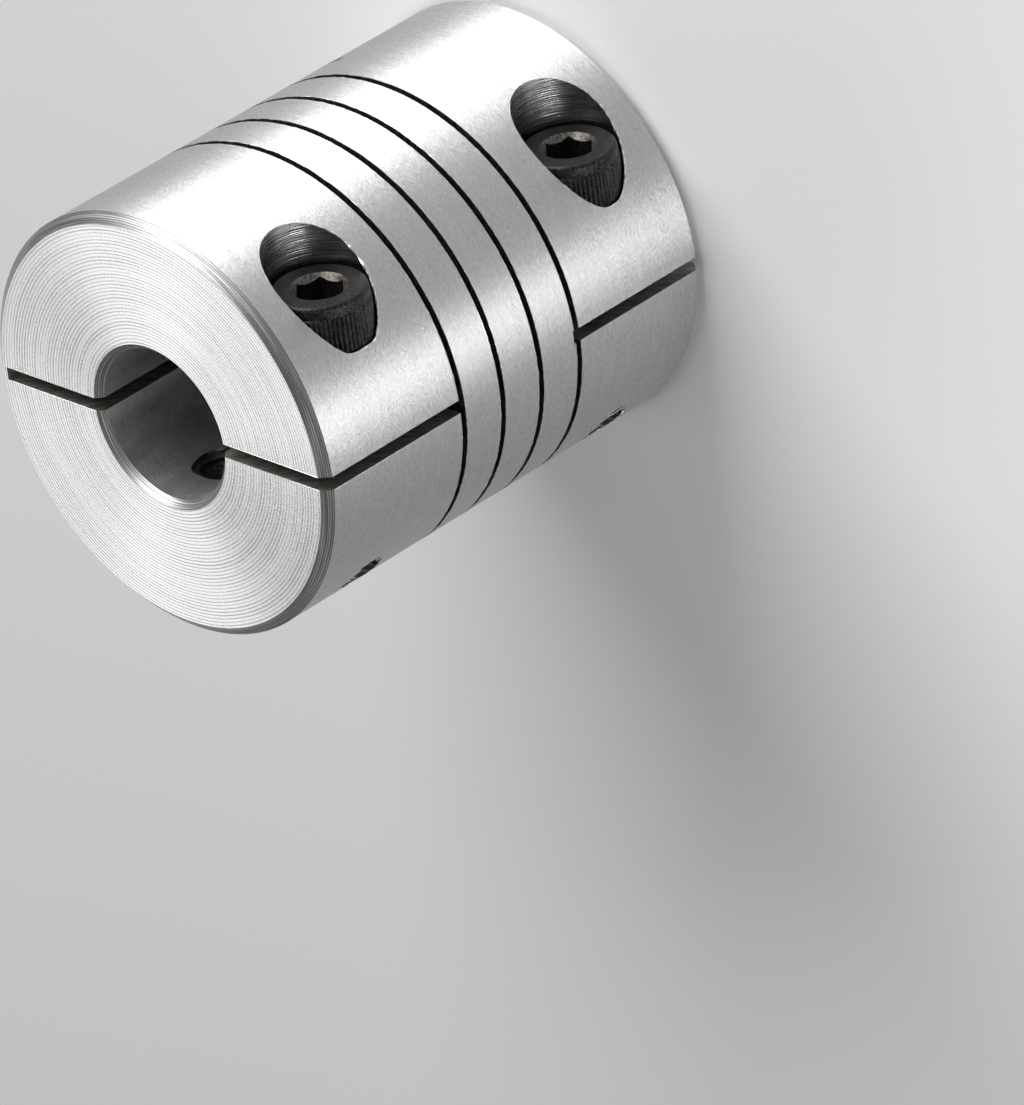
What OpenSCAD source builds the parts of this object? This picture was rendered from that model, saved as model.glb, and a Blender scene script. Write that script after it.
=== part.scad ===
// Helical beam coupling: a one-piece aluminium sleeve that joins two shafts end to end.
// The sleeve stands on its lower end face, with the shaft axis along +Z through the origin.
// Each end is split from its bore out to the +X side and is drawn shut by one clamp screw, whose
// head faces +Y. A set screw opposite the heads, along -Y, bears on each shaft as well.

/* [Sleeve] */
// Outer diameter of the sleeve
body_d = 25; // [24:0.5:30]
// Length of the sleeve along the shaft axis
body_len = 30; // [29:0.5:36]
// Diameter of the shaft bore
bore_d = 9; // [5:0.5:10]
// Width of the rim chamfer across the end face
rim_cut_r = 0.6; // [0.2:0.1:1]
// Height of the rim chamfer along the axis
rim_cut_z = 0.5; // [0.2:0.1:1]
// Chamfer at each mouth of the bore
bore_cut = 0.4; // [0.1:0.05:0.6]

/* [Helical cut] */
// Pitch of the right-handed cut
cut_pitch = 3.07; // [2.8:0.01:3.3]
// Turns of the cut from its first end to its last
cut_turns = 4.36; // [4.1:0.02:4.7]
// Width of the cut
cut_w = 0.4; // [0.2:0.05:0.6]
// How far the middle of the cut lies below the middle of the sleeve
cut_drop = 0.2; // [0:0.05:0.5]

/* [Clamp slits] */
// Width of the slit across each end
slit_w = 0.78; // [0.5:0.02:1.2]
// Thickness of the web left at the closed side of each slit
web_t = 0.85; // [0.5:0.05:1.5]
// How far the upper slit runs past the middle of the cut that it opens into
upper_slit_over = 0.1; // [0:0.05:0.4]
// How far the lower slit runs past the middle of the cut that it opens into
lower_slit_over = 0.3; // [0:0.05:0.4]

/* [Clamp screws] */
// Thread diameter of the clamp screws
clamp_d = 3; // [2.5:0.5:3]
// Length of a clamp screw under its head
clamp_len = 12; // [10:1:14]
// Diameter of a clamp screw's head
head_d = 5.5; // [4.5:0.1:5.7]
// Height of a clamp screw's head
head_h = 3; // [2:0.1:3.2]
// Chamfer round the top of the head
head_edge = 0.32; // [0.1:0.02:0.4]
// Chamfer round the foot of the head
head_foot = 0.15; // [0.05:0.05:0.3]
// Width across the flats of the head's socket
head_af = 2.5; // [1.5:0.5:2.5]
// Depth of the head's socket
head_socket = 1.5; // [1:0.1:1.7]
// Distance of the clamp screws from the shaft axis
clamp_x = 8.38; // [8:0.02:9]
// Distance of each clamp screw from its end face
clamp_end = 5.15; // [4.5:0.05:5.5]
// Height of the upper head's seat above the plane of the slit
upper_seat_y = 5.6; // [4.5:0.05:5.9]
// Height of the lower head's seat, which is sunk a little deeper
lower_seat_y = 5.25; // [4.5:0.05:5.9]
// Gap round the head in its counterbore
head_gap = 0.17; // [0.1:0.01:0.35]
// Gap round the thread where it passes the first jaw
pass_gap = 0.2; // [0.1:0.05:0.4]

/* [Set screws] */
// Thread diameter of the set screws
set_d = 4; // [3:0.5:4]
// Length of a set screw
set_len = 6; // [4:0.5:7]
// Width across the flats of a set screw's socket
set_af = 2; // [1:0.5:2]
// Depth of a set screw's socket
set_socket = 2; // [1:0.1:2.5]
// Distance of each set screw from its end face
set_end = 4.6; // [4:0.1:5.2]
// Gap between a set screw's tip and the bore
set_tip_gap = 0.3; // [0.1:0.1:0.8]
// Diameter of the countersink at the mouth of a set screw's hole
set_mouth_d = 4.8; // [4.3:0.1:5.2]
// Chamfer at both ends of a set screw and at the tip of a clamp screw
thread_edge = 0.35; // [0.1:0.05:0.5]
// Gap between a thread and the tapped wall that it runs in
thread_gap = 0.05; // [0.02:0.01:0.1]

/* [Hidden] */
$fn = 96;

body_r = body_d / 2;
bore_r = bore_d / 2;
// What a cutter reaches past the surface that it cuts, and into the cutter next to it
past = 1;
overlap = 0.1;

// The cut is symmetric about the closed side of the slits, at 180 degrees
cut_mid_z = body_len / 2 - cut_drop;
cut_mid_turn = 0.5;
steps_per_turn = 60;
cut_steps = ceil(cut_turns * steps_per_turn);
// Pitches from the middle of the cut to where it crosses the open side of a slit
cross_pitches = floor(cut_turns / 2 - cut_mid_turn) + cut_mid_turn;
upper_slit_z = cut_mid_z + cross_pitches * cut_pitch - upper_slit_over;
lower_slit_z = cut_mid_z - cross_pitches * cut_pitch + lower_slit_over;

upper_clamp_z = body_len - clamp_end;
lower_clamp_z = clamp_end;
// The corner that the counterbore's cutter leaves round its floor, clear of the head's foot
seat_corner = head_foot + head_gap / 2;
upper_set_z = body_len - set_end;
lower_set_z = set_end;
// Distance of a set screw's tip from the shaft axis
set_tip = bore_r + set_tip_gap;
// The drill point under a socket: its share of the depth, and its width against the flats
drill_share = 0.3;
drill_fit = 0.96;
// Share of a set screw's diameter that its cup point takes
cup_share = 0.55;

// Sets its children up along +Y, at a height and a distance from the shaft axis
module along_y(x, z) {
    translate([x, 0, z]) rotate([-90, 0, 0]) children();
}

// Sets its children up along -Y, at a height above the base
module along_minus_y(z) {
    translate([0, 0, z]) rotate([90, 0, 0]) children();
}

// A hexagonal socket with the cone of its drill point, sunk down from the origin
module hex_socket(across_flats, depth) {
    drill_depth = depth * drill_share;
    translate([0, 0, -depth]) cylinder(d = across_flats / cos(30), h = depth + past, $fn = 6);
    translate([0, 0, -depth - drill_depth])
        cylinder(d1 = 0, d2 = across_flats * drill_fit, h = drill_depth + overlap);
}

// The plain sleeve, chamfered at its rims and at both mouths of its bore
module plain_sleeve() {
    rotate_extrude($fn = 180) polygon([
        [bore_r + bore_cut, 0],
        [body_r - rim_cut_r, 0],
        [body_r, rim_cut_z],
        [body_r, body_len - rim_cut_z],
        [body_r - rim_cut_r, body_len],
        [bore_r + bore_cut, body_len],
        [bore_r, body_len - bore_cut],
        [bore_r, bore_cut]
    ]);
}

// One cross-section of the helical cutter, at a number of turns from its middle
function cut_ring(turns) =
    let (
        angle = 360 * (cut_mid_turn + turns),
        z = cut_mid_z + cut_pitch * turns,
        inner = bore_r - past,
        outer = body_r + past
    )
    [for (c = [[inner, -1], [outer, -1], [outer, 1], [inner, 1]])
        [c[0] * cos(angle), c[0] * sin(angle), z + c[1] * cut_w / 2]];

// The helical cutter: a thin wall swept round the axis, square at both ends
module helical_cutter() {
    rings = [for (i = [0:cut_steps]) cut_ring((i / cut_steps - 0.5) * cut_turns)];
    points = [for (ring = rings) for (p = ring) p];
    last = 4 * cut_steps;
    sides = [for (i = [0:cut_steps - 1]) for (j = [0:3])
        let (a = 4 * i + j, b = 4 * i + (j + 1) % 4)
        for (face = [[a, b, b + 4], [a, b + 4, a + 4]]) face];
    ends = [[0, 3, 2], [0, 2, 1], [last, last + 1, last + 2], [last, last + 2, last + 3]];
    polyhedron(points = points, faces = concat(sides, ends));
}

// A slit from one end of the sleeve to a height, open at +X and closed by the web at -X
module clamp_slit(z_from, z_to) {
    closed_x = web_t - body_r;
    translate([closed_x, -slit_w / 2, z_from])
        cube([body_r + past - closed_x, slit_w, z_to - z_from]);
}

// The counterbore that takes a head, from its seat upwards
module counterbore() {
    pocket_r = head_d / 2 + head_gap;
    rotate_extrude() polygon([
        [0, 0],
        [pocket_r - seat_corner, 0],
        [pocket_r, seat_corner],
        [pocket_r, body_r],
        [0, body_r]
    ]);
}

// The stepped hole of one clamp screw: counterbore, clear hole and tapped hole
module clamp_hole(z, seat_y) {
    along_y(clamp_x, z) {
        translate([0, 0, seat_y]) counterbore();
        cylinder(d = clamp_d + 2 * pass_gap, h = seat_y + overlap);
        translate([0, 0, -body_r]) cylinder(d = clamp_d + 2 * thread_gap, h = body_r + overlap);
    }
}

// The tapped hole of one set screw, from the bore out through a countersink
module set_hole(z) {
    mouth_depth = (set_mouth_d - set_d) / 2;
    along_minus_y(z) {
        cylinder(d = set_d + 2 * thread_gap, h = body_r + past);
        translate([0, 0, body_r - mouth_depth])
            cylinder(d1 = set_d, d2 = set_d + 2 * (mouth_depth + past), h = mouth_depth + past);
    }
}

// The sleeve: one piece, with its helical cut, slits and screw holes
module coupling_body() {
    color("silver") difference() {
        plain_sleeve();
        helical_cutter();
        clamp_slit(upper_slit_z, body_len + past);
        clamp_slit(-past, lower_slit_z);
        clamp_hole(upper_clamp_z, upper_seat_y);
        clamp_hole(lower_clamp_z, lower_seat_y);
        for (z = [lower_set_z, upper_set_z]) set_hole(z);
    }
}

// A socket-head cap screw, seated with its head on the counterbore's floor
module clamp_screw(z, seat_y) {
    color("#2a2a2c") along_y(clamp_x, z) translate([0, 0, seat_y]) difference() {
        rotate_extrude() polygon([
            [0, -clamp_len],
            [clamp_d / 2 - thread_edge, -clamp_len],
            [clamp_d / 2, thread_edge - clamp_len],
            [clamp_d / 2, 0],
            [head_d / 2 - head_foot, 0],
            [head_d / 2, head_foot],
            [head_d / 2, head_h - head_edge],
            [head_d / 2 - head_edge, head_h],
            [0, head_h]
        ]);
        translate([0, 0, head_h]) hex_socket(head_af, head_socket);
    }
}

// A cup-point set screw, run in until its tip is just short of the bore
module set_screw(z) {
    cup_r = set_d * cup_share / 2;
    color("#242426") along_minus_y(z) translate([0, 0, set_tip]) difference() {
        rotate_extrude() polygon([
            [0, cup_r],
            [cup_r, 0],
            [set_d / 2 - thread_edge, 0],
            [set_d / 2, thread_edge],
            [set_d / 2, set_len - thread_edge],
            [set_d / 2 - thread_edge, set_len],
            [0, set_len]
        ]);
        translate([0, 0, set_len]) hex_socket(set_af, set_socket);
    }
}

module upper_clamp_screw() { clamp_screw(upper_clamp_z, upper_seat_y); }
module lower_clamp_screw() { clamp_screw(lower_clamp_z, lower_seat_y); }
module upper_set_screw() { set_screw(upper_set_z); }
module lower_set_screw() { set_screw(lower_set_z); }

coupling_body();
upper_clamp_screw();
lower_clamp_screw();
upper_set_screw();
lower_set_screw();
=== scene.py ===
import math

import bpy
import numpy as np
from mathutils import Matrix, Vector


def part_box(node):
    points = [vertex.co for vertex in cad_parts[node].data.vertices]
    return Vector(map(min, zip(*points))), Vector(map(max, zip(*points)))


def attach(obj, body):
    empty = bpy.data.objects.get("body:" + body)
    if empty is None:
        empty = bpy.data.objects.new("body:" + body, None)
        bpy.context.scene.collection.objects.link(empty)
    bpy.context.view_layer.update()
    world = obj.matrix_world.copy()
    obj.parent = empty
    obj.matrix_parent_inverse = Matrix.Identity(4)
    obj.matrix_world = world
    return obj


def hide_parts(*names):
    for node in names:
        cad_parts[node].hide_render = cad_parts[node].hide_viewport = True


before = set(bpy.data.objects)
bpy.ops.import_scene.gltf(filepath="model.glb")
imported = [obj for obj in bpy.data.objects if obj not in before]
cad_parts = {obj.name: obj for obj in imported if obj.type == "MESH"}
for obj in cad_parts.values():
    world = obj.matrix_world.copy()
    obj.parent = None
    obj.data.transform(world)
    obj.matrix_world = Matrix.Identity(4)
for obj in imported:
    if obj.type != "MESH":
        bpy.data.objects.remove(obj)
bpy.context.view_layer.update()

# A helical beam coupling, dressed: the turned sleeve with its cuts, threads and tool marks, and its
# black screws. Lengths are in metres and the shaft axis is the Z axis.
MM = 0.001

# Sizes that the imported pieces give
SLEEVE_LOW, SLEEVE_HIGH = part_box("coupling_body")
CLAMP_LOW, CLAMP_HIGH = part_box("upper_clamp_screw")
SET_LOW, SET_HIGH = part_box("upper_set_screw")
BODY_R = SLEEVE_HIGH[0]
BODY_LEN = SLEEVE_HIGH[2] - SLEEVE_LOW[2]
CLAMP_X = (CLAMP_LOW[0] + CLAMP_HIGH[0]) / 2
HEAD_R = (CLAMP_HIGH[0] - CLAMP_LOW[0]) / 2
SET_R = (SET_HIGH[0] - SET_LOW[0]) / 2
SET_LEN = SET_HIGH[1] - SET_LOW[1]
SET_TIP = -SET_HIGH[1]


def middle_height(node):
    """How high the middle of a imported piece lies."""
    low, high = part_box(node)
    return (low[2] + high[2]) / 2


UPPER_CLAMP_Z = middle_height("upper_clamp_screw")
LOWER_CLAMP_Z = middle_height("lower_clamp_screw")
UPPER_SET_Z = middle_height("upper_set_screw")
LOWER_SET_Z = middle_height("lower_set_screw")

# Sleeve
BORE_R = 4.5 * MM
RIM_CUT_R = 0.6 * MM
RIM_CUT_Z = 0.5 * MM
BORE_CUT = 0.4 * MM
# Helical cut
CUT_PITCH = 3.07 * MM
CUT_TURNS = 4.36
CUT_W = 0.4 * MM
CUT_STEPS = 436
CUT_DROP = 0.2 * MM
CUT_MID_Z = BODY_LEN / 2 - CUT_DROP
# Pitches from the middle of the cut to where it crosses the open side of a slit
CROSS_PITCHES = 1.5
# Clamp slits
SLIT_W = 0.78 * MM
WEB_T = 0.85 * MM
UPPER_SLIT_OVER = 0.1 * MM
LOWER_SLIT_OVER = 0.3 * MM
UPPER_SLIT_Z = CUT_MID_Z + CROSS_PITCHES * CUT_PITCH - UPPER_SLIT_OVER
LOWER_SLIT_Z = CUT_MID_Z - CROSS_PITCHES * CUT_PITCH + LOWER_SLIT_OVER
# Clamp screws
HEAD_H = 3 * MM
UPPER_SEAT_Y = CLAMP_HIGH[1] - HEAD_H
LOWER_SEAT_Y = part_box("lower_clamp_screw")[1][1] - HEAD_H
CLAMP_R = 1.5 * MM
CLAMP_LEN = 12 * MM
CLAMP_PITCH = 0.5 * MM
HEAD_GAP = 0.17 * MM
HEAD_FOOT = 0.15 * MM
HEAD_EDGE = 0.32 * MM
SEAT_CORNER = HEAD_FOOT + HEAD_GAP / 2
PASS_GAP = 0.2 * MM
HEAD_AF = 2.5 * MM
HEAD_SOCKET = 1.5 * MM
SOCKET_CUT_R = 1.6 * MM
SOCKET_TURN = math.radians(12)
CLAMP_CROWN = 0.02 * MM
# Knurls round a head: how many, how deep, how far up their wave a valley reaches, and how fast their
# depth varies over a metre
KNURLS = 64
KNURL_DEPTH = 0.085 * MM
KNURL_VALLEY = 0.8
KNURL_NOISE = 1400.0
# Smooth band above the knurls: how far in it lies, and how far below the top the full head ends, the
# knurls fade out and the band starts and ends
BAND_SINK = 0.08 * MM
FULL_HEAD_TOP = 0.8 * MM
KNURL_FADE = (0.78 * MM, 0.74 * MM)
BAND_LOW = 0.7 * MM
BAND_HIGH = 0.28 * MM
# Rounded shoulder over the band: how far in from the band, or out from the edge, and how far below
# the top its corners lie
SHOULDER_LOW = (0.03 * MM, 0.15 * MM)
SHOULDER_MIDDLE = (0.09 * MM, 0.06 * MM)
SHOULDER_HIGH = (0.07 * MM, 0.015 * MM)
# Set screws
SET_PITCH = 0.7 * MM
SET_AF = 2 * MM
SET_SOCKET = 2 * MM
SET_MOUTH_R = 2.4 * MM
SET_CUP_R = 1.1 * MM
SET_CROWN = 0.01 * MM
# Threads: the gap round them, their depth as a share of the pitch, where in half a pitch the flank
# starts and ends, and the chamfer at the ends of a rod
THREAD_GAP = 0.05 * MM
THREAD_SHARE = 0.613
THREAD_FLANK = (0.25, 0.86)
THREAD_EDGE = 0.35 * MM
# Rings of points along the thread of each kind of screw and hole
CLAMP_RINGS = 290
CLAMP_HOLE_RINGS = 360
SET_RINGS = 96
SET_HOLE_RINGS = 180
# Drill point under a socket: its share of the depth and its width against the flats
DRILL_SHARE = 0.3
DRILL_FIT = 0.96
# Share of its cone's radius that a drill's or a cup's point keeps, so that it isn't quite sharp
POINT_SHARE = 0.02
# Burrs along cut edges: their radius, how fast they vary over a metre, how many radii they stray and
# are sunk, how many sides they have, and the bend from which an edge has one
LIP_R = 0.026 * MM
BURR_SCALE = 1700.0
BURR_REACH = 2.0
BURR_SINK = 0.8
BURR_SIDES = 6
BURR_BEND = math.radians(62)
# Noise at which a burr is thinnest and thickest, its thickness there in radii, and how much is added
# to one where it is coarse
BURR_NOISE = (0.45, 0.62)
BURR_THICKNESS = (0.5, 1.3)
BURR_COARSER = 1.9
# How much the side where a cutter leaves its pocket leans from the pocket's lower side towards +X
EXIT_LEAN = 0.6
# What a cutter reaches past the surface that it cuts, and into the next cutter
PAST = 1 * MM
OVERLAP = 0.1 * MM
# How near a surface a point counts as on it
NEAR = 0.02 * MM
# Share along Z of the normal of a level face, and of a chamfer between its least and its most
LEVEL = 0.99
SLANT = (0.6, 0.9)
# Edges that bend by more than this stay sharp
SHARP_BEND = math.radians(30)
# How near a true round surface a face has to lie to take its normal, and how well it has to agree
FITS = 0.004 * MM
AGREES = 0.97
# Turns about X that lay an upright screw or cutter along +Y and along -Y
TO_PLUS_Y = -math.pi / 2
TO_MINUS_Y = math.pi / 2

# Camera: where it stands, where its right and its top point, and its lens and sensor in millimetres
CAMERA_PLACE = (346.57 * MM, 246.39 * MM, 340.01 * MM)
CAMERA_RIGHT = (0.73176, -0.1051, -0.67341)
CAMERA_UP = (-0.26159, 0.86905, -0.4199)
CAMERA_LENS = 318.9
CAMERA_SENSOR = 36


def put_in_scene(name, data):
    """A new object in the scene, at the origin."""
    made = bpy.data.objects.new(name, data)
    bpy.context.scene.collection.objects.link(made)
    return made


def make_camera():
    """Looks down on the standing sleeve, rolled until its axis runs across the picture."""
    camera = put_in_scene("camera", bpy.data.cameras.new("camera"))
    right = Vector(CAMERA_RIGHT).normalized()
    up = Vector(CAMERA_UP)
    up = (up - right * right.dot(up)).normalized()
    turn = Matrix((right, up, right.cross(up))).transposed()
    camera.matrix_world = Matrix.Translation(CAMERA_PLACE) @ turn.to_4x4()
    camera.data.sensor_width = CAMERA_SENSOR
    camera.data.lens = CAMERA_LENS
    camera.data.clip_start = 10 * MM
    bpy.context.scene.camera = camera


class Value:
    """A number inside a tree. Arithmetic with it adds the nodes that work it out."""

    def __init__(self, maker, socket):
        self.maker = maker
        self.socket = socket

    def __add__(self, other):
        return self.maker.calc("ADD", self, other)

    def __sub__(self, other):
        return self.maker.calc("SUBTRACT", self, other)

    def __rsub__(self, other):
        return self.maker.calc("SUBTRACT", other, self)

    def __mul__(self, other):
        return self.maker.calc("MULTIPLY", self, other)

    def __truediv__(self, other):
        return self.maker.calc("DIVIDE", self, other)

    __radd__ = __add__


class Maker:
    """Adds nodes to one tree and links what they are given: a value, a socket or a plain number."""

    def __init__(self, tree):
        self.tree = tree

    def feed(self, socket, given):
        given = getattr(given, "socket", given)
        if isinstance(given, bpy.types.NodeSocket):
            self.tree.links.new(given, socket)
        elif given is not None:
            socket.default_value = given

    def node(self, kind, inputs=None, **settings):
        """A node with its settings, and its inputs by name or by place."""
        made = self.tree.nodes.new(kind)
        for name, setting in settings.items():
            setattr(made, name, setting)
        for name, given in (inputs or {}).items():
            if isinstance(name, int):
                socket = made.inputs[name]
            else:
                socket = next(s for s in made.inputs if s.name == name and s.enabled)
            self.feed(socket, given)
        return made

    def calc(self, operation, *given):
        made = self.node("ShaderNodeMath", dict(enumerate(given)), operation=operation)
        return Value(self, made.outputs[0])

    def vector(self, x, y, z):
        return self.node("ShaderNodeCombineXYZ", {0: x, 1: y, 2: z}).outputs[0]

    def parts(self, vector):
        """The three parts of a vector."""
        made = self.node("ShaderNodeSeparateXYZ", {0: vector})
        return [Value(self, socket) for socket in made.outputs]

    def ramp(self, given, low, high, to_low=0.0, to_high=1.0):
        """Turns one range of numbers into another, and holds it beyond both ends."""
        made = self.node("ShaderNodeMapRange")
        for place, number in enumerate((given, low, high, to_low, to_high)):
            self.feed(made.inputs[place], number)
        return Value(self, made.outputs[0])


class Former(Maker):
    """Adds the nodes that make and cut solids."""

    def choose(self, index, given):
        """The entry of a list that an index names."""
        made = self.node("GeometryNodeIndexSwitch", data_type="FLOAT")
        while len(made.index_switch_items) < len(given):
            made.index_switch_items.new()
        self.feed(made.inputs[0], index)
        for place, number in enumerate(given):
            self.feed(made.inputs[place + 1], number)
        return Value(self, made.outputs[0])

    def place(self):
        return self.parts(self.node("GeometryNodeInputPosition").outputs[0])

    def tube(self, around, steps):
        """A closed blank, one unit in radius and in length, which the shapes below bend."""
        sizes = {"Vertices": around, "Side Segments": steps, "Radius": 1.0, "Depth": 1.0}
        return self.node("GeometryNodeMeshCylinder", sizes).outputs[0]

    def reshape(self, solid, x, y, z):
        """Sets where each point of a solid lies."""
        inputs = {"Geometry": solid, "Position": self.vector(x, y, z)}
        return self.node("GeometryNodeSetPosition", inputs).outputs[0]

    def turned(self, profile, around=96):
        """A closed solid of revolution. Its profile is pairs of radius and height, from below."""
        steps = len(profile) - 1
        x, y, z = self.place()
        ring = self.calc("ROUND", (z + 0.5) * steps)
        radius = self.choose(ring, [point[0] for point in profile])
        height = self.choose(ring, [point[1] for point in profile])
        return self.reshape(self.tube(around, steps), x * radius, y * radius, height)

    def swept(self, section, steps, turns, pitch, middle):
        """A section of radius and height swept round the axis, halfway at the -X side."""
        count = len(section)
        x, y, z = self.place()
        corner = self.calc("ARCTAN2", y, x) * (count / math.tau)
        corner = self.calc("FLOORED_MODULO", self.calc("ROUND", corner), count)
        radius = self.choose(corner, [point[0] for point in section])
        lift = self.choose(corner, [point[1] for point in section])
        turn = z * turns
        angle = turn * math.tau + math.pi
        height = middle + turn * pitch + lift
        across = self.calc("COSINE", angle) * radius
        along = self.calc("SINE", angle) * radius
        return self.reshape(self.tube(count, steps), across, along, height)

    def threaded_rod(self, radius, pitch, low, high, edge, rings, around=48):
        """A rod with a right-handed thread between two heights, chamfered at both ends."""
        x, y, z = self.place()
        height = self.ramp(z, -0.5, 0.5, low, high)
        phase = self.calc("FRACT", height / pitch - self.calc("ARCTAN2", y, x) / math.tau)
        ridge = self.calc("ABSOLUTE", phase * 2 - 1)
        depth = pitch * THREAD_SHARE
        thread = radius - depth + self.ramp(ridge, *THREAD_FLANK) * depth
        from_end = self.calc("MINIMUM", height - low, high - height)
        capped = self.calc("MINIMUM", thread, from_end + radius - edge)
        return self.reshape(self.tube(around, rings), x * capped, y * capped, height)

    def block(self, low, high):
        """A box from one corner to the other."""
        size = self.vector(*[b - a for a, b in zip(low, high)])
        middle = self.vector(*[(a + b) * 0.5 for a, b in zip(low, high)])
        return self.moved(self.node("GeometryNodeMeshCube", {"Size": size}).outputs[0], middle)

    def moved(self, solid, place=(0, 0, 0), turn=(0, 0, 0)):
        inputs = {"Geometry": solid, "Translation": place, "Rotation": turn}
        return self.node("GeometryNodeTransform", inputs).outputs[0]

    def finished(self, solid, material):
        inputs = {"Geometry": solid, "Material": material}
        return self.node("GeometryNodeSetMaterial", inputs).outputs[0]

    def combined(self, operation, first, others):
        """Cuts or joins true solids."""
        made = self.node("GeometryNodeMeshBoolean", operation=operation, solver="MANIFOLD")
        if first is not None:
            self.tree.links.new(first, made.inputs[0])
        for other in others:
            self.tree.links.new(other, made.inputs[1])
        return made.outputs[0]

    def cut(self, solid, cutters):
        return self.combined("DIFFERENCE", solid, cutters)

    def fused(self, solids):
        return self.combined("UNION", None, solids)

    def together(self, solids):
        made = self.node("GeometryNodeJoinGeometry")
        for solid in solids:
            self.tree.links.new(solid, made.inputs[0])
        return made.outputs[0]

    def lips(self, solid, skin, coarse, radius, material):
        """Ragged burrs along the sharp edges of a solid where its skin was cut, some of them coarse."""
        normal = self.node("GeometryNodeInputNormal").outputs[0]
        inputs = {0: normal, "Scale": radius * -BURR_SINK}
        inward = self.node("ShaderNodeVectorMath", inputs, operation="SCALE").outputs[0]
        inputs = {"Geometry": solid, "Offset": inward}
        sunk = self.node("GeometryNodeSetPosition", inputs).outputs[0]
        bend = Value(self, self.node("GeometryNodeInputMeshEdgeAngle").outputs[0])
        sharp = self.calc("GREATER_THAN", bend, BURR_BEND)
        inputs = {"Mesh": sunk, "Selection": sharp * skin}
        edges = self.node("GeometryNodeMeshToCurve", inputs).outputs[0]
        inputs = {"Scale": BURR_SCALE, "Detail": 2.0, "Roughness": 0.6}
        noise = self.node("ShaderNodeTexNoise", inputs).outputs
        wander = [(part - 0.5) * (coarse + 1) * radius * BURR_REACH for part in self.parts(noise[1])]
        inputs = {"Geometry": edges, "Offset": self.vector(*wander)}
        edges = self.node("GeometryNodeSetPosition", inputs).outputs[0]
        thickness = self.ramp(Value(self, noise[0]), *BURR_NOISE, *BURR_THICKNESS)
        thickness = thickness * (coarse * BURR_COARSER + 1)
        inputs = {"Resolution": BURR_SIDES, "Radius": radius}
        ring = self.node("GeometryNodeCurvePrimitiveCircle", inputs).outputs[0]
        inputs = {"Curve": edges, "Profile Curve": ring, "Scale": thickness, "Fill Caps": True}
        beads = self.node("GeometryNodeCurveToMesh", inputs).outputs[0]
        smooth = self.node("GeometryNodeSetShadeSmooth", {"Geometry": beads}).outputs[0]
        return self.finished(smooth, material)

    def hex_socket(self, flats, depth, top):
        """What a hexagonal socket takes away below a height, with the cone of its drill point."""
        floor = top - depth
        drill_r = flats * (DRILL_FIT / 2)
        point = (drill_r * POINT_SHARE, floor - depth * DRILL_SHARE)
        drill = [point, (drill_r, floor), (drill_r, floor + OVERLAP)]
        corner = flats * (0.5 / math.cos(math.pi / 6))
        walls = self.turned([(corner, floor), (corner, top + PAST)], around=6)
        return [self.moved(walls, turn=(0, 0, SOCKET_TURN)), self.turned(drill, around=48)]


def new_tree(name, sizes):
    """An empty tree for a piece, and the named sizes that go into it."""
    tree = bpy.data.node_groups.new(name, "GeometryNodeTree")
    tree.interface.new_socket("Geometry", in_out="OUTPUT", socket_type="NodeSocketGeometry")
    for label in sizes:
        tree.interface.new_socket(label, in_out="INPUT", socket_type="NodeSocketFloat")
    former = Former(tree)
    sockets = tree.nodes.new("NodeGroupInput").outputs
    return former, {label: Value(former, sockets[label]) for label in sizes}


def end_tree(former, solid, chosen, material):
    """Realizes what the tree made and gives its chosen faces their finish."""
    real = former.node("GeometryNodeRealizeInstances", {"Geometry": solid}).outputs[0]
    inputs = {"Geometry": real, "Selection": chosen, "Material": material}
    done = former.node("GeometryNodeSetMaterial", inputs).outputs[0]
    out = former.tree.nodes.new("NodeGroupOutput")
    former.tree.links.new(done, out.inputs[0])
    return former.tree


def grow(name, tree, sizes):
    """Makes the piece of a tree at the sizes given, as a plain mesh."""
    seed = put_in_scene(name + "_seed", bpy.data.meshes.new(name + "_seed"))
    modifier = seed.modifiers.new("make", "NODES")
    modifier.node_group = tree
    for item in tree.interface.items_tree:
        if item.in_out == "INPUT":
            modifier[item.identifier] = sizes[item.name]
    evaluated = seed.evaluated_get(bpy.context.evaluated_depsgraph_get())
    mesh = bpy.data.meshes.new_from_object(evaluated)
    seed.modifiers.remove(modifier)
    bpy.data.objects.remove(seed)
    mesh.name = name
    return put_in_scene(name, mesh)


SLEEVE_SIZES = {
    "Radius": BODY_R,
    "Length": BODY_LEN,
    "Bore radius": BORE_R,
    "Rim chamfer width": RIM_CUT_R,
    "Rim chamfer height": RIM_CUT_Z,
    "Bore chamfer": BORE_CUT,
    "Cut pitch": CUT_PITCH,
    "Cut turns": CUT_TURNS,
    "Cut width": CUT_W,
    "Cut middle": CUT_MID_Z,
    "Slit width": SLIT_W,
    "Slit web": WEB_T,
    "Upper slit end": UPPER_SLIT_Z,
    "Lower slit end": LOWER_SLIT_Z,
    "Clamp offset": CLAMP_X,
    "Upper seat": UPPER_SEAT_Y,
    "Lower seat": LOWER_SEAT_Y,
    "Seat corner": SEAT_CORNER,
    "Pocket radius": HEAD_R + HEAD_GAP,
    "Pass radius": CLAMP_R + PASS_GAP,
    "Clamp thread radius": CLAMP_R + THREAD_GAP,
    "Upper clamp height": UPPER_CLAMP_Z,
    "Lower clamp height": LOWER_CLAMP_Z,
    "Set thread radius": SET_R + THREAD_GAP,
    "Set tip": SET_TIP,
    "Set mouth radius": SET_MOUTH_R,
    "Upper set height": UPPER_SET_Z,
    "Lower set height": LOWER_SET_Z,
    "Lip radius": LIP_R,
}


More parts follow.
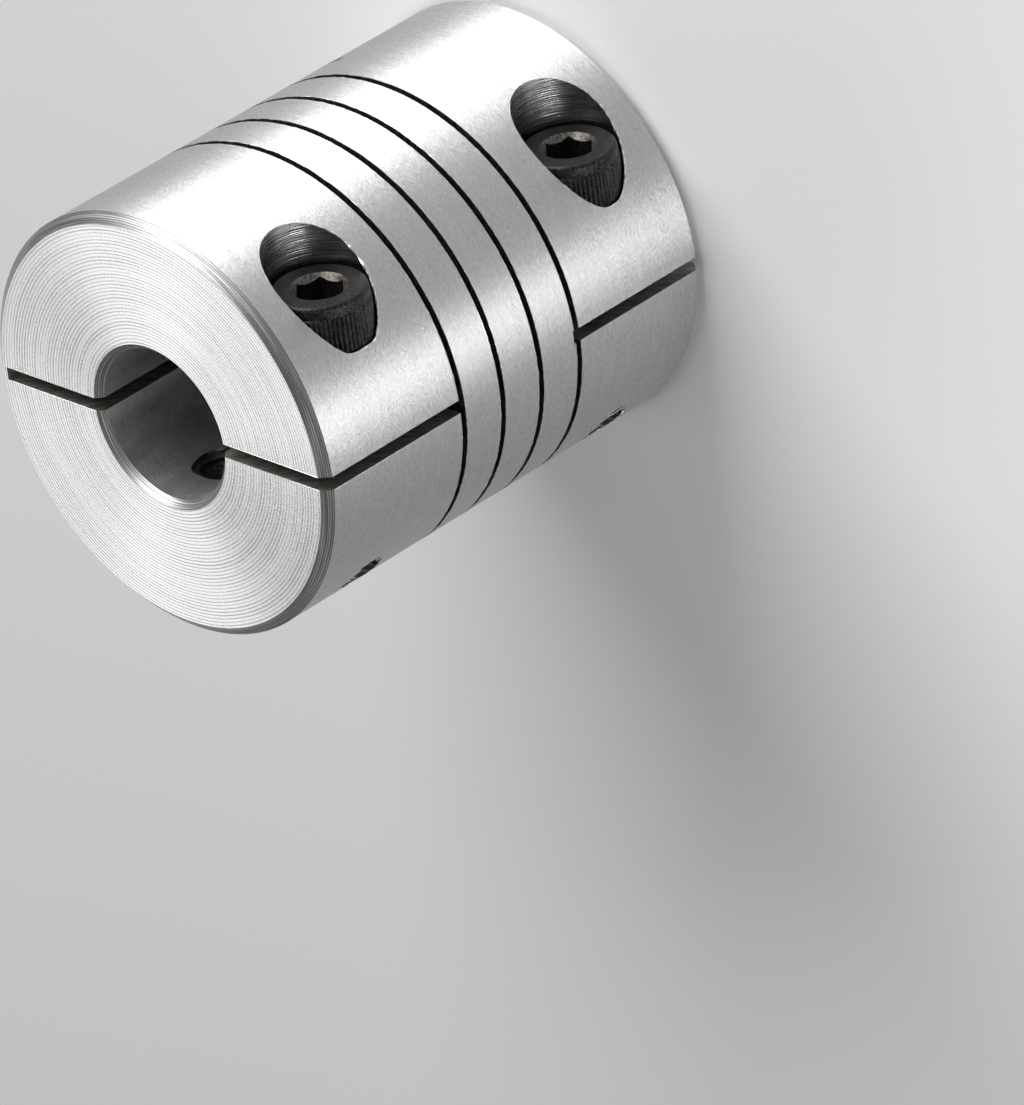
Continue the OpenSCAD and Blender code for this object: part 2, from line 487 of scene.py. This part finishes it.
def plain_sleeve(former, size):
    """The outside of the sleeve, chamfered at both rims."""
    radius = size["Radius"]
    face_r = radius - size["Rim chamfer width"]
    step = size["Rim chamfer height"]
    length = size["Length"]
    profile = [(face_r, 0.0), (radius, step), (radius, length - step), (face_r, length)]
    return former.turned(profile, around=360)


def bore_cutter(former, size):
    """The bore, wider at both mouths."""
    bore = size["Bore radius"]
    chamfer = size["Bore chamfer"]
    length = size["Length"]
    wide = bore + chamfer + PAST
    profile = [(wide, -PAST), (bore, chamfer), (bore, length - chamfer), (wide, length + PAST)]
    return former.turned(profile, around=240)


def helical_cutter(former, size):
    """The thin wall that cuts the beams of the sleeve free."""
    inner = size["Bore radius"] - PAST
    outer = size["Radius"] + PAST
    half = size["Cut width"] * 0.5
    low = half * -1
    section = [(inner, low), (inner, half), (outer, half), (outer, low)]
    turns = size["Cut turns"]
    return former.swept(section, CUT_STEPS, turns, size["Cut pitch"], size["Cut middle"])


def slit_cutter(former, size, low, high):
    """The slit of one end, open at +X."""
    half = size["Slit width"] * 0.5
    closed = size["Slit web"] - size["Radius"]
    return former.block((closed, half * -1, low), (size["Radius"] + PAST, half, high))


def pocket_cutters(former, size, height, seat, finishes):
    """The stepped hole of one clamp screw: counterbore, clear hole and tapped hole."""
    radius = size["Radius"]
    wide = size["Pocket radius"]
    narrow = size["Pass radius"]
    corner = size["Seat corner"]
    bend = [math.radians(angle) for angle in (0, 22.5, 45, 67.5, 90)]
    profile = [(wide - corner * (1 - math.sin(a)), corner * (1 - math.cos(a))) for a in bend]
    pocket = former.turned(profile + [(wide, radius)], around=160)
    passage = former.turned([(narrow, seat * -1), (narrow, OVERLAP)], around=64)
    thread_r = size["Clamp thread radius"]
    low = (seat + radius) * -1
    thread = former.threaded_rod(thread_r, CLAMP_PITCH, low, OVERLAP - seat, 0.0, CLAMP_HOLE_RINGS)
    place = former.vector(size["Clamp offset"], seat, height)
    turn = (TO_PLUS_Y, 0, 0)
    cutters = [(pocket, "pocket"), (passage, "thread"), (thread, "thread")]
    return [former.finished(former.moved(cutter, place, turn), finishes[use]) for cutter, use in cutters]


def set_cutters(former, size, height, finishes):
    """The tapped hole of one set screw and the countersink at its mouth."""
    tip = size["Set tip"]
    mouth = size["Radius"] - tip
    mouth_r = size["Set mouth radius"]
    thread_r = size["Set thread radius"]
    thread = former.threaded_rod(thread_r, SET_PITCH, tip * -1, mouth + PAST, 0.0, SET_HOLE_RINGS)
    start = mouth - (mouth_r - thread_r)
    sink = former.turned([(thread_r - OVERLAP, start - OVERLAP), (mouth_r + PAST, mouth + PAST)])
    place = former.vector(0.0, tip * -1, height)
    turn = (TO_MINUS_Y, 0, 0)
    cutters = [former.moved(cutter, place, turn) for cutter in (thread, sink)]
    return [former.finished(cutter, finishes["thread"]) for cutter in cutters]


def exit_burrs(former, size):
    """Grows to one round each counterbore's mouth, on the side where its cutter leaves the metal."""
    x, y, z = former.place()
    reach = size["Pocket radius"] + OVERLAP
    coarse = []
    for end in ("Upper", "Lower"):
        across = x - size["Clamp offset"]
        below = size[end + " clamp height"] - z
        inside = former.calc("LESS_THAN", former.calc("SQRT", across * across + below * below), reach)
        leaving = former.ramp(below + across * EXIT_LEAN, 0.0, reach)
        coarse.append(inside * leaving)
    return former.calc("MAXIMUM", *coarse) * former.calc("GREATER_THAN", y, 0.0)


def sleeve_tree(finishes):
    """The sleeve: a turned blank, bored, then cut through along its helix, slits and holes."""
    former, size = new_tree("turned_sleeve", SLEEVE_SIZES)
    blank = former.finished(plain_sleeve(former, size), finishes["side"])
    cutters = [
        former.finished(bore_cutter(former, size), finishes["bore"]),
        former.finished(helical_cutter(former, size), finishes["cut"]),
    ]
    length = size["Length"]
    for low, high in [(size["Upper slit end"], length + PAST), (-PAST, size["Lower slit end"])]:
        cutters.append(former.finished(slit_cutter(former, size, low, high), finishes["slit"]))
    for end in ("Upper", "Lower"):
        height = size[end + " clamp height"]
        cutters += pocket_cutters(former, size, height, size[end + " seat"], finishes)
    for height in (size["Upper set height"], size["Lower set height"]):
        cutters += set_cutters(former, size, height, finishes)
    sleeve = blank
    for cutter in cutters:
        sleeve = former.cut(sleeve, [cutter])
    x, y, z = former.place()
    from_axis = former.calc("SQRT", x * x + y * y)
    on_side = former.calc("GREATER_THAN", from_axis, size["Radius"] - NEAR)
    on_top = former.calc("GREATER_THAN", z, length - NEAR)
    on_base = former.calc("LESS_THAN", z, NEAR)
    skin = former.calc("MAXIMUM", former.calc("MAXIMUM", on_side, on_top), on_base)
    coarse = exit_burrs(former, size)
    lips = former.lips(sleeve, skin, coarse, size["Lip radius"], finishes["lip"])
    facing = former.parts(former.node("GeometryNodeInputNormal").outputs[0])[2]
    facing = former.calc("ABSOLUTE", facing)
    near_top = former.calc("GREATER_THAN", z, length - RIM_CUT_Z)
    near_end = former.calc("MAXIMUM", near_top, former.calc("LESS_THAN", z, RIM_CUT_Z))
    least, most = SLANT
    slanting = former.calc("GREATER_THAN", facing, least) * former.calc("LESS_THAN", facing, most)
    inputs = {"Geometry": sleeve, "Selection": slanting * near_end, "Material": finishes["rim"]}
    sleeve = former.node("GeometryNodeSetMaterial", inputs).outputs[0]
    level = former.calc("GREATER_THAN", facing, LEVEL)
    faced = level * former.calc("MAXIMUM", on_top, on_base)
    return end_tree(former, former.together([sleeve, lips]), faced, finishes["end"])


CLAMP_SIZES = {
    "Head radius": HEAD_R,
    "Head height": HEAD_H,
    "Thread radius": CLAMP_R,
    "Length": CLAMP_LEN,
    "Head edge": HEAD_EDGE,
    "Head foot": HEAD_FOOT,
    "Knurl depth": KNURL_DEPTH,
    "Across flats": HEAD_AF,
    "Socket depth": HEAD_SOCKET,
    "Socket chamfer radius": SOCKET_CUT_R,
}


def knurled_head(former, size):
    """The screw's head: straight knurls below a smooth band."""
    radius = size["Head radius"]
    height = size["Head height"]
    edge = size["Head edge"]
    band = radius - BAND_SINK
    foot = size["Head foot"]
    profile = [
        (radius - foot, 0.0),
        (radius, foot),
        (radius, height - FULL_HEAD_TOP),
        (band, height - BAND_LOW),
        (band, height - BAND_HIGH),
        (band - SHOULDER_LOW[0], height - SHOULDER_LOW[1]),
        (band - SHOULDER_MIDDLE[0], height - SHOULDER_MIDDLE[1]),
        (radius - edge + SHOULDER_HIGH[0], height - SHOULDER_HIGH[1]),
        (radius - edge, height),
    ]
    plain = former.turned(profile, around=KNURLS * 6)
    x, y, z = former.place()
    wave = former.calc("ABSOLUTE", former.calc("SINE", former.calc("ARCTAN2", y, x) * (KNURLS / 2)))
    valley = former.ramp(wave, 0.0, KNURL_VALLEY, 1.0, 0.0)
    noise = former.node("ShaderNodeTexNoise", {"Scale": KNURL_NOISE, "Detail": 1.0}).outputs[0]
    valley = valley * former.ramp(Value(former, noise), 0.35, 0.65, 0.35, 1.3)
    start, end = KNURL_FADE
    below = former.ramp(z, height - start, height - end, 1.0, 0.0)
    shrink = 1 - valley * below * size["Knurl depth"] / radius
    return former.reshape(plain, x * shrink, y * shrink, z)


def clamp_screw_tree(finishes):
    """A socket-head cap screw, standing with its seat at height zero."""
    former, size = new_tree("clamp_screw", CLAMP_SIZES)
    head = former.finished(knurled_head(former, size), finishes["head"])
    tip = size["Length"] * -1
    thread_r = size["Thread radius"]
    shank = former.threaded_rod(thread_r, CLAMP_PITCH, tip, OVERLAP, THREAD_EDGE, CLAMP_RINGS)
    whole = former.fused([head, former.finished(shank, finishes["head"])])
    top = size["Head height"]
    chamfer_r = size["Socket chamfer radius"]
    sunk_r = size["Across flats"] * 0.5
    sink = former.turned([(sunk_r, top - (chamfer_r - sunk_r)), (chamfer_r + PAST, top + PAST)])
    cutters = former.hex_socket(size["Across flats"], size["Socket depth"], top) + [sink]
    for cutter in cutters:
        whole = former.cut(whole, [former.finished(cutter, finishes["socket"])])
    z = former.place()[2]
    crown = former.calc("GREATER_THAN", z, top - CLAMP_CROWN)
    return end_tree(former, whole, crown, finishes["crown"])


SET_SIZES = {
    "Thread radius": SET_R,
    "Length": SET_LEN,
    "Across flats": SET_AF,
    "Socket depth": SET_SOCKET,
    "Cup radius": SET_CUP_R,
}


def set_screw_tree(finishes):
    """A cup-point set screw, standing on its point."""
    former, size = new_tree("set_screw", SET_SIZES)
    length = size["Length"]
    rod = former.threaded_rod(size["Thread radius"], SET_PITCH, 0.0, length, THREAD_EDGE, SET_RINGS)
    whole = former.finished(rod, finishes["head"])
    cup_r = size["Cup radius"]
    cup = former.turned([(cup_r + PAST, -PAST), (cup_r * POINT_SHARE, cup_r)])
    for cutter in former.hex_socket(size["Across flats"], size["Socket depth"], length) + [cup]:
        whole = former.cut(whole, [former.finished(cutter, finishes["socket"])])
    z = former.place()[2]
    crown = former.calc("GREATER_THAN", z, length - SET_CROWN)
    return end_tree(former, whole, crown, finishes["crown"])


def true_normals(mesh, surfaces):
    """Gives the corners of each face that lies on a true round surface that surface's own normal."""
    count = len(mesh.polygons)
    corners = np.empty(len(mesh.loops), int)
    mesh.loops.foreach_get("vertex_index", corners)
    places = np.empty(len(mesh.vertices) * 3)
    mesh.vertices.foreach_get("co", places)
    places = places.reshape(-1, 3)[corners]
    facing = np.empty(count * 3)
    mesh.polygons.foreach_get("normal", facing)
    totals = np.empty(count, int)
    mesh.polygons.foreach_get("loop_total", totals)
    face = np.repeat(np.arange(count), totals)
    facing = facing.reshape(-1, 3)
    normals = np.empty(len(corners) * 3)
    mesh.corner_normals.foreach_get("vector", normals)
    normals = normals.reshape(-1, 3)
    for surface in surfaces:
        off, wanted = surface(places)
        agrees = np.einsum("ij,ij->i", wanted, facing[face]) > AGREES
        fits = (np.abs(off) < FITS) & agrees
        whole = np.bincount(face, fits, count) == totals
        normals[whole[face]] = wanted[whole[face]]
    mesh.normals_split_custom_set(normals.tolist())


def round_wall(radius, outward, centre=(0, 0), axis=2):
    """A round wall about a line along one axis: how far off it points lie, and its normals there."""
    across = [i for i in range(3) if i != axis]

    def surface(places):
        flat = places[:, across] - np.array(centre)
        distance = np.linalg.norm(flat, axis=1)
        wanted = np.zeros_like(places)
        wanted[:, across] = flat / np.maximum(distance, 1e-9)[:, None] * outward
        return distance - radius, wanted

    return surface


def cone(radius, height, width, rise, outward):
    """A chamfer that starts at a radius and height and closes in by a width over its rise."""
    slant = math.hypot(width, rise)

    def surface(places):
        distance = np.linalg.norm(places[:, :2], axis=1)
        off = ((distance - radius) * rise + (places[:, 2] - height) * width) / slant
        wanted = np.empty_like(places)
        wanted[:, :2] = places[:, :2] / distance[:, None] * (rise / slant)
        wanted[:, 2] = width / slant
        side = math.copysign(1, rise) * outward
        return off, wanted * side

    return surface


def sleeve_surfaces():
    """The round surfaces of the sleeve that have to look truly round."""
    surfaces = [round_wall(BODY_R, 1), round_wall(BORE_R, -1)]
    for height in (UPPER_CLAMP_Z, LOWER_CLAMP_Z):
        surfaces.append(round_wall(HEAD_R + HEAD_GAP, -1, centre=(CLAMP_X, height), axis=1))
        surfaces.append(round_wall(CLAMP_R + PASS_GAP, -1, centre=(CLAMP_X, height), axis=1))
    surfaces.append(cone(BODY_R, BODY_LEN - RIM_CUT_Z, RIM_CUT_R, RIM_CUT_Z, 1))
    surfaces.append(cone(BODY_R, RIM_CUT_Z, RIM_CUT_R, -RIM_CUT_Z, 1))
    surfaces.append(cone(BORE_R, BODY_LEN - BORE_CUT, -BORE_CUT, BORE_CUT, -1))
    surfaces.append(cone(BORE_R, BORE_CUT, -BORE_CUT, -BORE_CUT, -1))
    return surfaces


def soften(piece):
    """Smooth faces with their sharp edges kept."""
    piece.data.shade_smooth()
    piece.data.set_sharp_from_angle(angle=SHARP_BEND)


def place_mesh(piece, place, turn):
    """Puts a piece's mesh where the piece belongs, with its object left at the origin."""
    piece.data.transform(Matrix.Translation(place) @ Matrix.Rotation(turn, 4, "X"))


class Finish(Maker):
    """Adds the nodes of one surface finish, whose pattern is measured in millimetres."""

    def __init__(self, name):
        self.material = bpy.data.materials.new(name)
        self.material.use_nodes = True
        super().__init__(self.material.node_tree)
        self.shader = self.tree.nodes["Principled BSDF"]
        place = self.node("ShaderNodeTexCoord").outputs["Object"]
        self.x, self.y, self.z = [part * (1 / MM) for part in self.parts(place)]

    def set(self, **given):
        """Sets the shader's own sockets, each named in lower case."""
        for name, number in given.items():
            self.feed(self.shader.inputs[name.replace("_", " ").title().replace("Ior", "IOR")], number)

    def noise(self, x, y, z, detail=2.0, roughness=0.5):
        """Cloudy noise from 0 to 1, about one cloud to each unit of what it is given."""
        inputs = {"Vector": self.vector(x, y, z), "Scale": 1.0, "Detail": detail, "Roughness": roughness}
        return Value(self, self.node("ShaderNodeTexNoise", inputs).outputs[0])

    def from_axis(self):
        return self.calc("SQRT", self.x * self.x + self.y * self.y)

    def tint(self, level, low, high):
        """A colour between two, by a level from 0 to 1."""
        inputs = {"Factor": level, "A": (*low, 1), "B": (*high, 1)}
        return self.node("ShaderNodeMix", inputs, data_type="RGBA").outputs[2]

    def grooves(self, height, depth):
        """Presses a pattern of heights into the surface, to a depth in metres."""
        inputs = {"Height": height, "Distance": depth, "Strength": 1.0}
        self.set(normal=self.node("ShaderNodeBump", inputs).outputs[0])

    def along_axis(self):
        """Stretches reflections across the marks of the lathe."""
        tangent = self.node("ShaderNodeTangent", direction_type="RADIAL", axis="Z").outputs[0]
        self.set(tangent=tangent, anisotropic_rotation=0.25)


def turned_side():
    """The outer wall, with the short fine strokes that run round it."""
    finish = Finish("turned_side")
    strokes = finish.noise(finish.x * 3.5, finish.y * 3.5, finish.z * 21, detail=2.0, roughness=0.6)
    broad = finish.noise(finish.x * 0.3, finish.y * 0.3, finish.z * 3.5, detail=2.0)
    grain = strokes * 0.8 + broad * 0.2
    finish.set(
        base_color=finish.tint(finish.ramp(grain, 0.33, 0.67), (0.63, 0.63, 0.64), (0.92, 0.92, 0.925)),
        metallic=1.0,
        roughness=finish.ramp(grain, 0.33, 0.67, 0.42, 0.52),
        anisotropic=0.94,
    )
    finish.grooves(grain, 0.035 * MM)
    finish.along_axis()
    return finish.material


def rings(finish, along, pitch, uneven):
    """Fine dark lines at a pitch, some of them stronger than others."""
    wave = finish.calc("SINE", along * (math.tau / pitch)) * 0.5 + 0.5
    return finish.ramp(wave * uneven, 0.35, 0.9)


def faced_end():
    """An end face, with the rings that the facing tool leaves."""
    finish = Finish("faced_end")
    radius = finish.from_axis()
    wander = finish.noise(finish.x * 0.25, finish.y * 0.25, finish.z, detail=1.0) * 0.12
    uneven = finish.noise(radius * 3, finish.x * 0.08, finish.y * 0.08, detail=3.0, roughness=0.6)
    line = rings(finish, radius + wander, 0.2, finish.ramp(uneven, 0.35, 0.65, 0.6, 1.0))
    finish.set(
        base_color=finish.tint(line, (0.93, 0.93, 0.932), (0.68, 0.68, 0.69)),
        metallic=1.0,
        roughness=0.27,
        anisotropic=0.9,
    )
    finish.grooves(line * -1, 0.006 * MM)
    finish.along_axis()
    return finish.material


def ringed_chamfer():
    """The chamfers at the rims and the bore's mouths, with uneven bright rings of the tool."""
    finish = Finish("ringed_chamfer")
    radius = finish.from_axis()
    wave = finish.calc("SINE", radius * (math.tau / 0.1)) * 0.5 + 0.5
    uneven = finish.noise(radius * 10, finish.x * 0.15, finish.y * 0.15, detail=3.0, roughness=0.7)
    line = wave * 0.2 + uneven * 0.8
    finish.set(
        base_color=finish.tint(finish.ramp(line, 0.45, 0.68), (0.3, 0.3, 0.31), (0.9, 0.9, 0.9)),
        metallic=1.0,
        roughness=0.4,
    )
    finish.grooves(line, 0.018 * MM)
    return finish.material


def bored_wall():
    """The wall of the bore, dull and blotched by the boring tool."""
    finish = Finish("bored_wall")
    fine = finish.noise(finish.x * 3, finish.y * 3, finish.z * 9, detail=3.0, roughness=0.7)
    broad = finish.noise(finish.x * 0.9, finish.y * 0.9, finish.z * 0.35, detail=2.0)
    level = finish.ramp(fine * 0.45 + broad * 0.55, 0.35, 0.65)
    finish.set(
        base_color=finish.tint(level, (0.56, 0.55, 0.535), (0.88, 0.87, 0.855)),
        metallic=1.0,
        roughness=0.45,
    )
    finish.grooves(fine, 0.02 * MM)
    return finish.material


def pocket_wall():
    """The wall of a counterbore, with the rings of its cutter, its metal painted darker than the outer
    wall: painted shade in the recess.
    """
    finish = Finish("pocket_wall")
    uneven = finish.noise(finish.x * 0.3, finish.y * 9, finish.z * 0.3, detail=2.0, roughness=0.6)
    finish.set(
        base_color=finish.tint(finish.ramp(uneven, 0.35, 0.65), (0.24, 0.24, 0.245), (0.58, 0.58, 0.59)),
        metallic=1.0,
        roughness=0.27,
    )
    finish.grooves(uneven, 0.02 * MM)
    return finish.material


def sawn_wall(name, low, high):
    """The walls that a saw leaves, with its slanting marks."""
    finish = Finish(name)
    across = (finish.x + finish.z) * 5
    along = (finish.x - finish.z) * 0.7
    slant = finish.noise(across, finish.y * 2, along, detail=3.0)
    finish.set(
        base_color=finish.tint(finish.ramp(slant, 0.35, 0.65), low, high),
        metallic=1.0,
        roughness=0.42,
    )
    finish.grooves(slant, 0.03 * MM)
    return finish.material


def tapped_wall():
    """The tapped and clear holes of the screws, dull and patchy, painted darker than the outer metal:
    painted shade in the holes.
    """
    finish = Finish("tapped_wall")
    patchy = finish.noise(finish.x * 2, finish.y * 2, finish.z * 2, detail=3.0)
    finish.set(
        base_color=finish.tint(finish.ramp(patchy, 0.3, 0.7), (0.22, 0.216, 0.21), (0.44, 0.43, 0.415)),
        metallic=1.0,
        roughness=0.45,
    )
    return finish.material


def bright_lip():
    """The rolled lip along a cut edge, which catches the light."""
    finish = Finish("bright_lip")
    patchy = finish.noise(finish.x * 3, finish.y * 3, finish.z * 3, detail=2.0)
    finish.set(
        base_color=finish.tint(finish.ramp(patchy, 0.35, 0.65), (0.55, 0.55, 0.55), (0.98, 0.98, 0.98)),
        metallic=1.0,
        roughness=0.35,
    )
    return finish.material


def blackened(name, low, high, roughness, scale):
    """Black oxide on steel, mottled between two shades."""
    finish = Finish(name)
    place = [part * scale for part in (finish.x, finish.y, finish.z)]
    mottle = finish.noise(*place, detail=4.0, roughness=0.65)
    level = finish.ramp(mottle, 0.4, 0.66)
    finish.set(
        base_color=finish.tint(level, low, high),
        metallic=0.8,
        roughness=finish.ramp(mottle, 0.3, 0.7, roughness, roughness + 0.12),
    )
    finish.grooves(mottle, 0.02 * MM)
    return finish.material


def make_finishes():
    """Every finish of the coupling, by what it is for."""
    return {
        "side": turned_side(),
        "end": faced_end(),
        "bore": bored_wall(),
        "pocket": pocket_wall(),
        # The slit walls are tinted a warm, darker grey: painted reflection and shade, over the saw's
        # slanting marks.
        "slit": sawn_wall("sawn_slit", (0.42, 0.395, 0.37), (0.82, 0.79, 0.75)),
        # The walls of the helical cut are painted near black: painted shade in the thin cut, over the
        # saw's slanting marks.
        "cut": sawn_wall("sawn_helix", (0.12, 0.115, 0.11), (0.28, 0.27, 0.26)),
        "thread": tapped_wall(),
        "lip": bright_lip(),
        "rim": ringed_chamfer(),
        "head": blackened("black_oxide", (0.01, 0.01, 0.011), (0.055, 0.054, 0.054), 0.34, 6),
        "crown": blackened("worn_crown", (0.014, 0.013, 0.012), (0.062, 0.056, 0.051), 0.34, 8),
        # The sockets and cup points are painted lighter than the head's black oxide, a painted sheen for
        # the bright socket chamfer; the mottle is the oxide's own.
        "socket": blackened("broached_socket", (0.05, 0.046, 0.043), (0.19, 0.175, 0.16), 0.34, 6),
    }


def make_sleeve(finishes):
    sleeve = grow("sleeve", sleeve_tree(finishes), SLEEVE_SIZES)
    soften(sleeve)
    true_normals(sleeve.data, sleeve_surfaces())
    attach(sleeve, "root")
    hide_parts("coupling_body")


def make_screw(name, tree, sizes, place, turn, node):
    """One black screw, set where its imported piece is."""
    screw = grow(name, tree, sizes)
    soften(screw)
    place_mesh(screw, place, turn)
    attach(screw, "root")
    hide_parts(node)


def make_screws(finishes):
    clamp_tree = clamp_screw_tree(finishes)
    set_tree = set_screw_tree(finishes)
    seats = [("upper", UPPER_CLAMP_Z, UPPER_SEAT_Y), ("lower", LOWER_CLAMP_Z, LOWER_SEAT_Y)]
    for name, height, seat in seats:
        place = (CLAMP_X, seat, height)
        node = name + "_clamp_screw"
        make_screw("knurled_" + node, clamp_tree, CLAMP_SIZES, place, TO_PLUS_Y, node)
    for name, height in [("upper", UPPER_SET_Z), ("lower", LOWER_SET_Z)]:
        node = name + "_set_screw"
        make_screw("threaded_" + node, set_tree, SET_SIZES, (0, -SET_TIP, height), TO_MINUS_Y, node)


# Studio: half the floor's side, its colour, and the even light of the room
FLOOR_HALF = 1.5
FLOOR_COLOR = (0.86, 0.86, 0.86, 1)
ROOM_LIGHT = 0.25
# Soft boxes: where each stands, its width, its height and its power
LAMPS = [
    ("side_box", (-0.13, 0.36, 0.19), 0.36, 0.36, 2.1),
    ("front_strip", (0.1, 0.0, 0.035), 0.016, 0.07, 0.028),
    ("end_box", (-0.234, -0.113, 0.33), 0.2, 0.2, 0.18),
]


def make_floor():
    """A plain pale floor, which the metal mirrors with the coupling's soft shadow on it."""
    mesh = bpy.data.meshes.new("floor")
    corners = [(-1, -1, 0), (1, -1, 0), (1, 1, 0), (-1, 1, 0)]
    mesh.from_pydata([Vector(corner) * FLOOR_HALF for corner in corners], [], [(0, 1, 2, 3)])
    floor = put_in_scene("floor", mesh)
    material = bpy.data.materials.new("pale_floor")
    material.use_nodes = True
    maker = Maker(material.node_tree)
    maker.tree.nodes.clear()
    card = maker.node("ShaderNodeBsdfDiffuse", {"Color": FLOOR_COLOR}).outputs[0]
    maker.node("ShaderNodeOutputMaterial", {0: card})
    mesh.materials.append(material)


def make_world():
    """A plain even room, the same for the camera and for what the metal mirrors."""
    world = bpy.data.worlds.new("studio")
    bpy.context.scene.world = world
    world.use_nodes = True
    maker = Maker(world.node_tree)
    maker.tree.nodes.clear()
    light = maker.node("ShaderNodeBackground", {"Strength": ROOM_LIGHT}).outputs[0]
    maker.node("ShaderNodeOutputWorld", {0: light})


def make_lamp(name, place, width, height, power):
    """A soft box out of the camera's sight, turned towards the middle of the sleeve."""
    data = bpy.data.lights.new(name, "AREA")
    data.shape = "RECTANGLE"
    data.size = width
    data.size_y = height
    data.energy = power
    lamp = put_in_scene(name, data)
    lamp.visible_camera = False
    aim = Vector((0, 0, BODY_LEN / 2)) - Vector(place)
    lamp.matrix_world = Matrix.Translation(place) @ aim.to_track_quat("-Z", "Y").to_matrix().to_4x4()


def make_studio():
    bpy.context.scene.view_settings.view_transform = "Standard"
    make_floor()
    make_world()
    for lamp in LAMPS:
        make_lamp(*lamp)


make_camera()
FINISHES = make_finishes()
make_sleeve(FINISHES)
make_screws(FINISHES)
make_studio()
